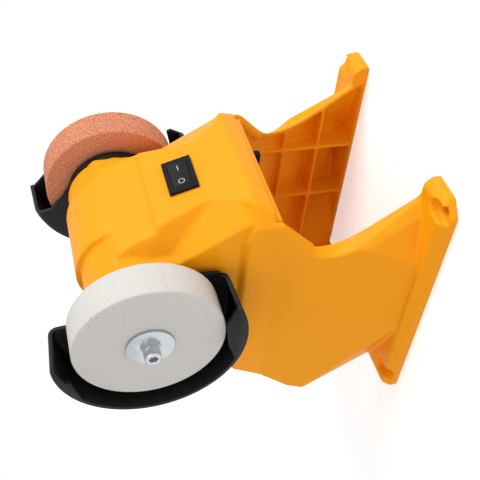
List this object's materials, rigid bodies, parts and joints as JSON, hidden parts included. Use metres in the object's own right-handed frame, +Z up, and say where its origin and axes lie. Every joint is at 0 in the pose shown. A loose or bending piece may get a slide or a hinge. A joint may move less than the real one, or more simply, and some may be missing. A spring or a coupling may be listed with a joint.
{
  "type": "mini bench grinder",
  "caption": "Cordless mini bench grinder: twin abrasive wheels on a motor shaft, guards, faceted housing on splayed ribbed legs, rocker switch and battery slide.",
  "frame": {"origin": "on the bench under the middle of the shaft, at the centre of the four foot slots", "axes": "+Z up, X along the shaft with the pink wheel at +X, -Y is the front with the switch"},
  "size_m": [0.1568, 0.1555, 0.1942],
  "materials": {
    "golden_abs": "moulded, satin",
    "black_plastic": "moulded, satin",
    "black_gloss": "moulded, semi-gloss",
    "guard_nylon": "moulded, fine texture",
    "zinc_steel": "bright zinc plated",
    "bright_steel": "turned and ground",
    "core_steel": "laminated",
    "ferrite": "sintered",
    "carbon": "pressed carbon",
    "brass": "bright",
    "copper_wire": "enamelled",
    "lead_pvc": "insulated",
    "white_oxide": "vitrified abrasive, fine grain",
    "pink_oxide": "vitrified abrasive, coarse grain"
  },
  "bodies": {
    "housing": {"front_housing": "golden_abs", "rear_cover": "golden_abs", "cover_screws": "zinc_steel", "battery_deck": "golden_abs", "deck_screws": "zinc_steel", "terminal_block": "black_plastic", "terminal_blades": "brass", "switch_body": "black_plastic", "switch_terminals": "brass", "motor_can": "bright_steel", "left_end_bell": "bright_steel", "right_end_bell": "bright_steel", "motor_magnets": "ferrite", "left_bearing": "bright_steel", "right_bearing": "bright_steel", "brush_holder": "black_plastic", "carbon_brushes": "carbon", "brush_springs": "bright_steel", "supply_leads": "lead_pvc", "motor_leads": "lead_pvc", "left_guard": "guard_nylon", "right_guard": "guard_nylon", "guard_screws": "zinc_steel"},
    "spindle": {"motor_shaft": "bright_steel", "armature_core": "core_steel", "armature_windings": "copper_wire", "commutator": "brass", "cooling_fan": "black_plastic", "left_wheel": "white_oxide", "right_wheel": "pink_oxide", "left_inner_flange": "bright_steel", "right_inner_flange": "bright_steel", "left_outer_washer": "zinc_steel", "right_outer_washer": "zinc_steel", "left_spring_washer": "zinc_steel", "right_spring_washer": "zinc_steel", "left_cap_screw": "zinc_steel", "right_cap_screw": "zinc_steel"},
    "rocker": {"switch_rocker": "black_gloss"}
  },
  "joints": [
    {"name": "spindle_spin", "type": "hinge", "parent": "housing", "child": "spindle", "pos_m": [0, 0, 0.146], "axis": [1, 0, 0], "continuous": true},
    {"name": "rocker_tilt", "type": "hinge", "parent": "housing", "child": "rocker", "pos_m": [0, -0.04355, 0.11779], "axis": [0, 0.3057, 0.9521], "range_deg": [0, 18]}
  ]
}
